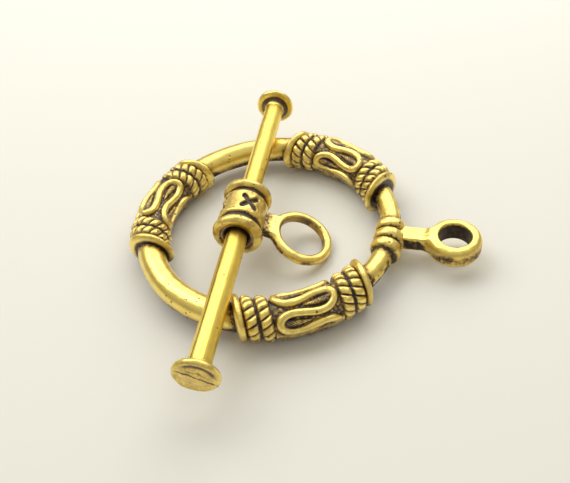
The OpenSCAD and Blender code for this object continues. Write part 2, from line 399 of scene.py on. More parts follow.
def add_node(tree: bpy.types.NodeTree, kind: str, values: dict | None = None,
             links: dict | None = None, **settings: object) -> bpy.types.Node:
    """Adds a node with its settings, input values and links.

    Args:
        tree: the node tree.
        kind: Blender's name for the kind of node.
        values: fixed values by input name or number.
        links: output sockets by the input name or number that they feed.
        settings: the node's own properties.

    Returns:
        The node.
    """
    node = tree.nodes.new(kind)
    for key, value in settings.items():
        setattr(node, key, value)
    for key, value in (values or {}).items():
        node.inputs[key].default_value = value
    for key, socket in (links or {}).items():
        tree.links.new(socket, node.inputs[key])
    return node


def add_math(tree: bpy.types.NodeTree, operation: str, *inputs: float | bpy.types.NodeSocket,
             **settings: object) -> bpy.types.NodeSocket:
    """Adds an arithmetic node for numbers and sockets.

    Args:
        tree: the node tree.
        operation: Blender's name for what it works out.
        inputs: its fixed numbers and the sockets that feed it, in order.
        settings: the node's own properties.

    Returns:
        The socket of its result.
    """
    sockets = {k: value for k, value in enumerate(inputs) if isinstance(value, bpy.types.NodeSocket)}
    numbers = {k: value for k, value in enumerate(inputs) if k not in sockets}
    return add_node(tree, "ShaderNodeMath", numbers, sockets, operation=operation, **settings).outputs[0]


def add_range(tree: bpy.types.NodeTree, value: bpy.types.NodeSocket, old: tuple[float, float],
              new: tuple[float, float] = (0.0, 1.0), **settings: object) -> bpy.types.NodeSocket:
    """Adds a node that carries a value from one range over to another and holds it between its ends.

    Args:
        tree: the node tree.
        value: the socket that feeds it.
        old: the range's ends before.
        new: its ends afterwards.
        settings: the node's own properties.

    Returns:
        The socket of its result.
    """
    names = ("From Min", "From Max", "To Min", "To Max")
    node = add_node(tree, "ShaderNodeMapRange", dict(zip(names, (*old, *new))), {"Value": value},
                    **settings)
    return node.outputs["Result"]


def per_mm(size: float) -> float:
    """Scale of a texture in Object coordinates, which are metres, for a pattern of that size in mm."""
    return 1.0 / (size * MM)


@dataclass(frozen=True)
class AntiqueGold:
    """Cast zinc alloy, gold plated, blackened and tumbled until its high places are bright again.

    gold, film, brown and patina: the colours from bright gold, through a thin and a thick brown
    film, to the black-brown left in the recesses. The darker ones also stand for painted shade
    where a piece is darkened for it.
    bright_roughness and patina_roughness: how dull the bright metal and the patina are.
    patina_metal and metal_from: how far the patina shines as a metal does, and the wear from which on
        the whole of it does.
    mottle and mottle_mm: how unevenly the patina was rubbed off, and the size of those clouds.
    speckle and speckle_mm: how far specks of gold and patina differ where the metal is as rough as
        it was cast, and their size.
    rough_dullness and rough_grain: how much duller the metal is there, and how much deeper its grain.
    grain_mm and grain_depth: size and depth of the casting's fine grain, in millimetres.
    pit_mm and pit_depth: distance between small pits and how deep they are, in millimetres.
    pit_spread and pit_least: how much pits differ in size, and the least size, as shares of the
        distance between them. A size well below 0 leaves no pit.
    pit_patina: how much less worn the pits are.
    lacquer and lacquer_roughness: how far a clear lacquer covers the metal, and how dull it is. It
        gives the eye the whiter glints on the relief and a grey sheen in the dark recesses.
    """

    name: str
    gold: str = "#FFE57C"
    film: str = "#CFB05C"
    brown: str = "#6C5330"
    patina: str = "#281E17"
    bright_roughness: float = 0.2
    patina_roughness: float = 0.5
    patina_metal: float = 0.45
    metal_from: float = 0.45
    mottle: float = 0.35
    mottle_mm: float = 0.9
    speckle: float = 0.42
    speckle_mm: float = 0.24
    rough_dullness: float = 0.22
    rough_grain: float = 3.0
    grain_mm: float = 0.11
    grain_depth: float = 0.008
    pit_mm: float = 0.42
    pit_depth: float = 0.02
    pit_spread: float = 0.5
    pit_least: float = -0.24
    pit_patina: float = 0.5
    lacquer: float = 0.0
    lacquer_roughness: float = 0.28

    def colour_ramp(self, tree: bpy.types.NodeTree, share: bpy.types.NodeSocket) -> bpy.types.Node:
        """The colour for each state of wear, from patina through brown film to bright gold.

        Args:
            tree: the material's node tree.
            share: how worn the metal is, from 0 to 1.

        Returns:
            The ramp's node.
        """
        ramp = add_node(tree, "ShaderNodeValToRGB", links={"Fac": share})
        stops = [(0.0, self.patina), (0.3, self.brown), (0.62, self.film), (1.0, self.gold)]
        elements = ramp.color_ramp.elements
        while len(elements) < len(stops):
            elements.new(0.5)
        for element, (place, colour) in zip(elements, stops):
            element.position = place
            element.color = linear_colour(colour)
        return ramp

    def material(self) -> bpy.types.Material:
        """A metal whose colour, dullness and bumps follow the piece's wear and grit.

        The wear is that of the piece, with clouds of rubbed patina, specks where the metal is rough,
        and less of it in the pits. Colour, dullness and metal all follow it. The bumps are a fine
        grain, deeper where the metal is rough, and pits of chance sizes.

        Returns:
            The material.
        """
        material = bpy.data.materials.new(self.name)
        tree = empty_tree(material)
        place = add_node(tree, "ShaderNodeTexCoord").outputs["Object"]
        wear_and_shade, grit = (add_node(tree, "ShaderNodeAttribute", attribute_name=label).outputs["Fac"]
                      for label in ("wear_and_shade", "grit"))

        def noise(size: float, detail: float, roughness: float) -> bpy.types.NodeSocket:
            """A noise of that size in millimetres."""
            node = add_node(tree, "ShaderNodeTexNoise", links={"Vector": place},
                            values={"Scale": per_mm(size), "Detail": detail, "Roughness": roughness})
            return node.outputs["Fac"]

        cells = add_node(tree, "ShaderNodeTexVoronoi", links={"Vector": place},
                         values={"Scale": per_mm(self.pit_mm), "Randomness": 1.0})
        chance = add_node(tree, "ShaderNodeSeparateColor", links={0: cells.outputs["Color"]})
        pit_size = add_math(tree, "MULTIPLY_ADD", chance.outputs["Red"], self.pit_spread, self.pit_least)
        from_pit = add_math(tree, "SUBTRACT", cells.outputs["Distance"], pit_size)
        pits = add_range(tree, from_pit, (-0.08, 0.04), interpolation_type="SMOOTHSTEP")

        clouded = noise(self.mottle_mm, detail=5.0, roughness=0.62)
        specks = noise(self.speckle_mm, detail=3.0, roughness=0.7)
        rubbed = add_range(tree, clouded, (0.25, 0.75), (-self.mottle, self.mottle))
        speckled = add_range(tree, specks, (0.35, 0.65), (-self.speckle, self.speckle))
        pitted = add_range(tree, pits, (0.0, 1.0), (-self.pit_patina, 0.0))
        worn = add_math(tree, "MULTIPLY_ADD", speckled, grit, add_math(tree, "ADD", wear_and_shade, rubbed))
        share = add_math(tree, "ADD", worn, pitted, use_clamp=True)

        dullness = add_range(tree, share, (0.0, 1.0), (self.patina_roughness, self.bright_roughness))
        roughness = add_math(tree, "MULTIPLY_ADD", grit, self.rough_dullness, dullness)
        metallic = add_range(tree, share, (0.0, self.metal_from), (self.patina_metal, 1.0))

        grain_height = add_math(tree, "MULTIPLY_ADD", grit, self.rough_grain, 1.0)
        grain = noise(self.grain_mm, detail=3.0, roughness=0.6)
        grain = add_math(tree, "MULTIPLY", grain, grain_height)
        height = add_math(tree, "MULTIPLY_ADD", pits, self.pit_depth / self.grain_depth, grain)
        bump = add_node(tree, "ShaderNodeBump", links={"Height": height},
                        values={"Strength": 1.0, "Distance": self.grain_depth * MM})

        shader = add_node(tree, "ShaderNodeBsdfPrincipled",
                          values={"Coat Weight": self.lacquer, "Coat Roughness": self.lacquer_roughness},
                          links={"Base Color": self.colour_ramp(tree, share).outputs["Color"],
                                 "Roughness": roughness,
                                 "Metallic": metallic,
                                 "Normal": bump.outputs["Normal"]})
        add_node(tree, "ShaderNodeOutputMaterial", links={"Surface": shader.outputs["BSDF"]})
        return material


@dataclass(frozen=True)
class RingLine:
    """The ring's centre line: a circle of that radius, at that height over the surface below."""

    radius: float
    height: float

    def place(self, along: Array, turned: Array, out: Array, middle: float = 0.0,
              lean: float = 0.0) -> Array:
        """Points round the centre line.

        A point stands out from the line by sin(turned) away from the ring's middle and by
        cos(turned) upwards. With no lean, a section turns as the ring does. With a lean, all points
        of one length still lie in a plane, but that plane turns by only the rest of the angle.

        Args:
            along: length on the centre line, counted from the middle.
            turned: angle round the section, from the top outwards.
            out: distance from the centre line.
            middle: where the lengths start, in degrees from +X.
            lean: how far the sections lie parallel to each other, from 0 to 1.

        Returns:
            The places, three numbers in the last direction.
        """
        whole = along / self.radius
        reach = self.radius + out * np.sin(turned)
        straight = lean * whole
        angle = math.radians(middle) + whole - straight + np.arcsin(self.radius * np.sin(straight) / reach)
        return np.stack([reach * np.cos(angle), reach * np.sin(angle),
                         self.height + out * np.cos(turned)], -1)

    def beyond(self, points: Array, middle: float, half: float, lean: float) -> Array:
        """Distance of points past the nearer end of a sleeve, negative inside it.

        Args:
            points: the places.
            middle: the sleeve's middle, in degrees from +X.
            half: half of the sleeve's length on the centre line.
            lean: how far the sleeve's sections lie parallel to each other.

        Returns:
            The distances, square to the sleeve's end planes.
        """
        reach = np.hypot(points[..., 0], points[..., 1])
        angle = np.abs(wrapped(np.arctan2(points[..., 1], points[..., 0]) - math.radians(middle)))
        whole = half / self.radius
        turned = np.minimum(angle - (1.0 - lean) * whole, math.pi / 2.0)
        return reach * np.sin(turned) - self.radius * math.sin(lean * whole)


@dataclass(frozen=True)
class RingWire:
    """The plain round wire of the ring, which runs on unseen under the sleeves.

    thin_half and thin_run: beside the connector the wire is thin up to the first angle from +X, and
        grows to its full diameter over the second one, both in degrees.
    beads_middle and beads_half: place of the connector's beads in degrees, and half of their length.
    seam_at: angle of the casting's filed seam round the wire, from its top, in degrees.
    under_from and thin_under_from: angles from the top at which the darkening below starts, in degrees,
        on the full wire and on the thin one. It is partly patina and partly painted shade, and comes up
        over the angle under_fade, in radians.
    """

    line: RingLine
    sleeves: tuple["Sleeve", ...]
    diameter: float = 1.94
    thin_diameter: float = 1.5
    thin_half: float = 41.0
    thin_run: float = 6.0
    beads_middle: float = -2.5
    beads_half: float = 1.62
    seam_at: float = 116.0
    seam_width: float = 0.07
    seam_wander: float = 0.05
    under_from: float = 78.0
    thin_under_from: float = 36.0
    under_fade: float = 0.6
    lumps: Lumps = Lumps(broad=0.01, broad_size=2.6, fine=0.004, fine_size=0.8)
    seed: int = 1
    rows: int = 560
    columns: int = 72

    def surface(self) -> Surface:
        """A torus, slightly uneven, whose radius goes down to the thin one beside the connector.

        Returns:
            The wire as one grid, whose rows join up round the ring.
        """
        turns = np.linspace(0.0, FULL_TURN, self.rows, endpoint=False)
        past = np.degrees(np.abs(wrapped(turns))) - self.thin_half
        thicker = (self.diameter - self.thin_diameter) * smooth(past / self.thin_run)
        section = np.stack([turns * self.line.radius, (self.thin_diameter + thicker) / 2.0], -1)
        along, turned, radius = turned_grid(section, self.columns)
        points = self.line.place(along, turned, radius)
        out = radius + self.lumps.height(points, self.seed)
        wear_and_shade, grit = self.finish(points, turns[:, None], turned, past[:, None])
        return Surface(self.line.place(along, turned, out), wear_and_shade, grit, rows_join=True)

    def finish(self, points: Array, turns: Array, turned: Array, past: Array) -> tuple[Array, Array]:
        """Wear and grit: dark beside the sleeves and beads, in the seam and in clouds below.

        Args:
            points: the grid's places.
            turns: each row's angle round the ring.
            turned: angle round the wire, from the top outwards.
            past: how far each row lies past the thin part, in degrees.

        Returns:
            Wear and grit for each point.
        """
        sleeve = np.min([self.line.beyond(points, s.middle, s.half_length, s.lean)
                         for s in self.sleeves], axis=0)
        beads = np.abs(wrapped(turns - math.radians(self.beads_middle))) * self.line.radius
        shaded = np.maximum(bell(np.maximum(sleeve, 0.0), 0.4),
                            0.9 * bell(np.maximum(beads - self.beads_half, 0.0), 0.28))
        off_seam = wrapped(turned - math.radians(self.seam_at)) * self.diameter / 2.0
        off_seam = off_seam + self.seam_wander * unevenness(points, 3.0, self.seed + 2)
        seam = bell(off_seam, self.seam_width) * clouds(points, 4.0, self.seed + 3, contrast=1.0)
        # Darker below, on the full and the thin wire: partly patina, partly painted shade.
        from_top = np.abs(wrapped(turned))
        below = rise(from_top, math.radians(self.under_from), self.under_fade)
        patchy = below * clouds(points, 2.2, self.seed + 4, cover=0.55, contrast=0.7)
        thin = fall(past, 0.0, 5.0) * rise(from_top, math.radians(self.thin_under_from), self.under_fade)
        specked = thin * clouds(points, 0.7, self.seed + 5, contrast=0.9)
        return toned(0.97, 0.06,
                     (Tone(darker=0.75, rougher=0.7), shaded),
                     (Tone(darker=0.6), seam),
                     (Tone(darker=0.4), below),
                     (Tone(darker=0.45, rougher=0.7), patchy),
                     (Tone(darker=0.6), specked),
                     (Tone(rougher=0.6), thin))


@dataclass(frozen=True)
class Scroll:
    """The raised wire that winds round a sleeve's panel, with a drop in each of its loops.

    The wire's path is that of a river's bends: its direction swings as a sine of the way travelled.

    reach: how far the wire's middle line swings to each side of the panel's middle.
    round_length: way round the sleeve that the waves share.
    swing: how far its direction swings to each side, in degrees.
    first_loop: angle from the top at which the first wave starts, in degrees.
    drop_at: distance of a drop's middle from the panel's middle.
    drop_taper: how much narrower than its round end a drop is a little past its middle, as a share.
    ridge_pitch, ridge_slant and ridge_share: how far apart a drop's fine ridges lie, how far they
        slant, and how much of its height they take.
    seam_at and seam_half: angle of the casting's seams from the top, and half of the width of the
        band along them, in degrees.
    """

    reach: float
    round_length: float
    width: float
    height: float
    waves: int = 4
    swing: float = 108.0
    first_loop: float = -28.0
    steps: int = 96
    drop_at: float = 0.96
    drop_length: float = 2.1
    drop_width: float = 0.74
    drop_height: float = 0.24
    drop_taper: float = 0.38
    ridge_pitch: float = 0.17
    ridge_slant: float = 0.8
    ridge_share: float = 0.16
    seam_at: float = 112.0
    seam_half: float = 19.0
    seam_height: float = 0.25

    def path(self) -> Array:
        """One wave of the path: the sums of the cosines and sines of its swinging direction.

        Returns:
            Points as (share of the wave round the sleeve, place along the sleeve).
        """
        turns = np.radians(self.swing) * np.sin(FULL_TURN * (np.arange(self.steps) + 0.5) / self.steps)
        across = np.concatenate([[0.0], np.cumsum(np.cos(turns))])
        up = np.concatenate([[0.0], np.cumsum(np.sin(turns))])
        return np.stack([across / across[-1], self.reach * (2.0 * up / up.max() - 1.0)], -1)

    def distance(self, share: Array, along: Array) -> Array:
        """Distance from each point to the nearest piece of the path, over one wave and its neighbours.

        Args:
            share: place round the sleeve as a share of a wave, from 0 to 1.
            along: place along the sleeve.

        Returns:
            The distances in millimetres.
        """
        wave = self.round_length / self.waves
        path = self.path()
        nearest = np.full(share.shape, np.inf)
        for lap in (-1.0, 0.0, 1.0):
            knots = np.stack([(path[:, 0] + lap) * wave, path[:, 1]], -1)
            for start, end in zip(knots[:-1], knots[1:]):
                way = end - start
                x, y = share * wave - start[0], along - start[1]
                reached = np.clip((x * way[0] + y * way[1]) / (way @ way), 0.0, 1.0)
                nearest = np.minimum(nearest, np.hypot(x - reached * way[0], y - reached * way[1]))
        return nearest

    def relief(self, along: Array, turned: Array) -> tuple[Array, Array]:
        """Height of the wire and of the drops over the panel's floor.

        The wire's section is half a rounded square: one less a power of the distance from its middle,
        and a root of that. A drop's outline is an ellipse, wide at its loop's closed end and narrow at
        the other. Its section is rounded in the same way, and fine ridges cross it.

        Args:
            along: place along the sleeve, from its middle.
            turned: angle round the section, from the top outwards.

        Returns:
            The heights of the wire and of the drops.
        """
        waves = (turned - math.radians(self.first_loop)) / FULL_TURN * self.waves
        share = waves - np.floor(waves)
        away = np.clip(self.distance(share, along) / (self.width / 2.0), 0.0, 1.0)
        wire = self.height * (1.0 - away ** 2.4) ** 0.55
        wave = self.round_length / self.waves
        drops = np.zeros_like(share)
        for side in (-1.0, 1.0):
            x = ((share - (side + 1.0) / 4.0 + 0.5) % 1.0 - 0.5) * wave
            y = side * along - self.drop_at
            lengthwise = y / (self.drop_length / 2.0)
            taper = 1.0 - self.drop_taper * (1.0 - np.clip(lengthwise + 0.4, -1.0, 1.0))
            half = taper * self.drop_width / 2.0 * np.sqrt(np.clip(1.0 - lengthwise ** 2, 0.0, 1.0))
            body = np.clip(1.0 - (x / np.maximum(half, 1e-4)) ** 2, 0.0, 1.0) ** 0.6
            ridges = 0.5 + 0.5 * np.cos(FULL_TURN * (x + self.ridge_slant * y) / self.ridge_pitch)
            ridged = 1.0 - self.ridge_share * (1.0 - ridges)
            drops = np.maximum(drops, self.drop_height * body * ridged)
        return self.at_seam(wire, turned), self.at_seam(drops, turned)

    def at_seam(self, height: Array, turned: Array) -> Array:
        """The relief's height with the plain low band along both seams of the casting.

        Args:
            height: height of the relief over the panel's floor.
            turned: angle round the section, from the top outwards.

        Returns:
            The height, which goes over to the band's own where the band is.
        """
        plain = bell(np.abs(wrapped(turned)) - math.radians(self.seam_at), math.radians(self.seam_half))
        return height + (self.seam_height - height) * smooth(1.4 * plain - 0.1)


@dataclass(frozen=True)
class Sleeve:
    """A cast sleeve round the ring: rim, two rope bands, scroll panel, two rope bands, rim.

    middle: where the sleeve's middle lies, in degrees from +X.
    rim_height and rim_rise: how far the rim falls off from its crown, outwards and to the ropes.
    rim_face: length of the part of the rim's section that faces away from the ropes.
    strand_lean: how far a strand moves round over a band's width, as a share of their spacing.
    strand_cut: depth of the lines between the strands as a share of a band's height.
    strand_change: how much the strands' heights differ, as a share.
    groove_diameter and floor_diameter: diameters between the bands and between the scroll's wires.
    lean: how far the sleeve's sections lie parallel to each other, from 0 to 1.
    flank_from and flank_fade: angle from the top at which the flanks' darkening starts, in degrees, and
        the angle over which it comes up, in radians. It is partly patina and partly painted shade.
    """

    line: RingLine
    middle: float
    seed: int
    rim_diameter: float = 3.16
    rim_width: float = 0.66
    rim_height: float = 0.6
    rim_rise: float = 0.36
    rim_face: float = 0.68
    rope_diameter: float = 3.1
    rope_width: float = 0.94
    strands: int = 14
    strand_lean: float = 0.9
    strand_cut: float = 0.7
    strand_change: float = 0.05
    groove_diameter: float = 2.46
    panel_length: float = 4.6
    floor_diameter: float = 2.36
    scroll_diameter: float = 3.12
    scroll_width: float = 0.6
    scroll_room: float = 0.06
    lean: float = 0.85
    flank_from: float = 88.0
    flank_fade: float = 0.55
    lumps: Lumps = Lumps(broad=0.012, broad_size=1.1, fine=0.006, fine_size=0.35, apart=9)
    shade: Shade = Shade(darker=5.0, rows=6, columns=6)
    step: float = 0.04
    columns: int = 240

    @property
    def half_length(self) -> float:
        """Half of the sleeve's length on the ring's centre line."""
        return self.panel_length / 2.0 + 2.0 * self.rope_width + self.rim_width

    def scroll(self) -> Scroll:
        """The scroll, sized to the panel."""
        return Scroll(reach=(self.panel_length - self.scroll_width) / 2.0 - self.scroll_room,
                      round_length=math.pi * (self.scroll_diameter + self.floor_diameter) / 2.0,
                      width=self.scroll_width,
                      height=(self.scroll_diameter - self.floor_diameter) / 2.0)

    def end_section(self) -> Array:
        """One end's section from the wire to the ropes.

        It starts inside the wire, rises to the rim's crown as a quarter of a tall ellipse, and falls
        to the groove behind it as a quarter of a lower one, up to where the ropes start.

        Returns:
            Points as (distance from the sleeve's middle, radius).
        """
        edge = self.rim_width / 2.0
        rim = arc((0.0, 0.0), 1.0, -46.0, 184.0, 80)
        height = np.where(rim[:, 0] > 0.0, self.rim_height, self.rim_rise)
        along = self.half_length - edge + edge * rim[:, 0]
        radius = self.rim_diameter / 2.0 - height * (1.0 - rim[:, 1])
        section = evenly(np.stack([along, radius], -1), self.step)
        face = round(self.rim_face / self.step)
        return section[:face + np.searchsorted(-section[face:, 0], self.rim_width - self.half_length)]

    def ropes(self, past: Array, turned: Array) -> tuple[Array, Array]:
        """Radius of the rope bands, and how far each point lies down between two strands.

        A band's section is a rounded square: one less a power of the distance from its middle, and a
        root of that. A power of the distance from a strand's middle takes the lines out of it.

        Args:
            past: distance from the panel's edge.
            turned: angle round the section, from the top outwards.

        Returns:
            The radius, and 0 on a strand's crown to 1 in the lines and grooves beside it.
        """
        bands = past / self.rope_width
        sideways = np.abs(2.0 * (bands - np.floor(bands)) - 1.0)
        strands = turned / FULL_TURN * self.strands - self.strand_lean * bands
        place = np.abs(2.0 * (strands - np.floor(strands)) - 1.0)
        swell = np.clip(1.0 - sideways ** 2.3, 0.0, 1.0) ** 0.6
        change = np.sin(5.3 * np.floor(strands) + 2.1 * np.floor(bands) + self.seed)
        high = (self.rope_diameter - self.groove_diameter) / 2.0 * (1.0 + self.strand_change * change)
        radius = self.groove_diameter / 2.0 + high * swell * (1.0 - self.strand_cut * place ** 2.8)
        return radius, np.maximum(place ** 4, rise(sideways, 0.5, 0.34))

    def surface(self) -> Surface:
        """The whole sleeve as one grid: rim, ropes and panel, ropes and rim.

        The rims are dark inside towards the wire and the flanks below, with patina and painted shade. The
        relief is bright on its crests and dark in its hollows, the more so in the panel, whose bare floor
        is as rough as it was cast.

        Returns:
            The sleeve's grid.
        """
        end = self.end_section()
        inner = self.panel_length / 2.0 + 2.0 * self.rope_width
        count = round(2.0 * inner / self.step)
        middle = np.stack([np.linspace(-inner, inner, count), np.zeros(count)], -1)
        section = np.concatenate([end * np.array([-1.0, 1.0]), middle, end[::-1]])
        along, turned, out = turned_grid(section, self.columns)
        decorated = slice(len(end), len(end) + count)

        past = np.maximum(np.abs(along[decorated]) - self.panel_length / 2.0, 0.0)
        ropes, lines = self.ropes(past, turned[decorated])
        wire, drops = self.scroll().relief(along[decorated], turned[decorated])
        panel = past <= 0.0
        out[decorated] = np.where(panel, self.floor_diameter / 2.0 + np.maximum(wire, drops), ropes)
        points = self.line.place(along, turned, out, self.middle, self.lean)
        skin = out + self.lumps.height(points, self.seed)

        # Flanks darker below: partly patina, partly painted shade.
        flank = rise(np.abs(wrapped(turned)), math.radians(self.flank_from), self.flank_fade)
        patchy = clouds(points, 1.3, self.seed + 3)
        wear_and_shade, grit = toned(0.92, 0.15,
                           # The rims' faces towards the wire: patina and painted shade.
                           (Tone(darker=0.95), fall(skin, 1.32, 0.28)),
                           (Tone(darker=0.5), flank * patchy),
                           (Tone(rougher=0.45), flank))
        lifted = out[decorated] - self.floor_diameter / 2.0
        on_drop = rise(drops, 0.0, 0.08) * (drops > wire)
        # The relief's flanks are darker below too: partly patina, partly painted shade.
        relief = 0.84 + (self.shade.wear_and_shade(out) - 0.5 * flank * (0.3 + 0.7 * patchy))[decorated]
        relief = np.where(panel, relief * (0.3 + 0.7 * rise(lifted, 0.05, 0.24)), relief - 0.6 * lines)
        wear_and_shade[decorated] = relief - 0.32 * on_drop
        grit[decorated] += 0.35 * on_drop + 0.85 * (panel & (lifted < 0.02))
        return Surface(self.line.place(along, turned, skin, self.middle, self.lean), wear_and_shade, grit)


@dataclass(frozen=True)
class ConnectorBeads:
    """The wound beads round the ring where the eye's neck leaves it.

    middle: where the middle bead lies, in degrees from +X.
    width and pitch: length of an end bead alone, and distance between two beads' middles.
    groove_half and groove_depth: half of the width of the flat between two beads, and its depth.
    core: radius at which the grid starts and ends, inside the wire.
    """

    line: RingLine
    middle: float = -2.5
    count: int = 3
    diameter: float = 2.3
    width: float = 1.1
    pitch: float = 1.034
    groove_half: float = 0.06
    groove_depth: float = 0.36
    core: float = 0.5
    lumps: Lumps = Lumps(broad=0.014, broad_size=1.0, fine=0.006, fine_size=0.4)
    shade: Shade = Shade(darker=3.0, rows=8)
    seed: int = 31
    step: float = 0.03
    columns: int = 200

    def section(self) -> Array:
        """Round beads side by side with a narrow groove between them.

        A bead's radius falls off from its crown as the root of what a power of the distance leaves.

        Returns:
            Points as (place along the ring, radius).
        """
        places = (np.arange(self.count) - (self.count - 1) / 2.0) * self.pitch
        half = places[-1] + self.width / 2.0
        along = np.linspace(-half, half, round(2.0 * half / self.step))
        near = np.abs(along[:, None] - places) / (self.pitch / 2.0 - self.groove_half)
        crowns = np.sqrt(1.0 - np.clip(near, 0.0, 1.0) ** 2.4).max(1)
        beads = np.stack([along, self.diameter / 2.0 - self.groove_depth * (1.0 - crowns)], -1)
        foot = self.diameter / 2.0 - self.groove_depth
        lead = evenly(np.array([[half - 0.1, self.core], [half, foot]]), self.step)[:-1]
        return np.concatenate([lead * np.array([-1.0, 1.0]), beads, lead[::-1]])

    def surface(self) -> Surface:
        """The section turned about the ring's centre line, dark between and beside the beads.

        Returns:
            The beads' grid.
        """
        along, turned, out = turned_grid(self.section(), self.columns)
        points = self.line.place(along, turned, out, self.middle)
        between = np.min([np.abs(along - (k - self.count / 2.0) * self.pitch)
                          for k in range(self.count + 1)], axis=0)
        wear_and_shade, grit = toned(0.9 + self.shade.wear_and_shade(out), 0.18,
                           (Tone(darker=0.8), bell(between, 0.15)),
                           (Tone(rougher=0.5), bell(between, 0.3)))
        skin = out + self.lumps.height(points, self.seed)
        return Surface(self.line.place(along, turned, skin, self.middle), wear_and_shade, grit)


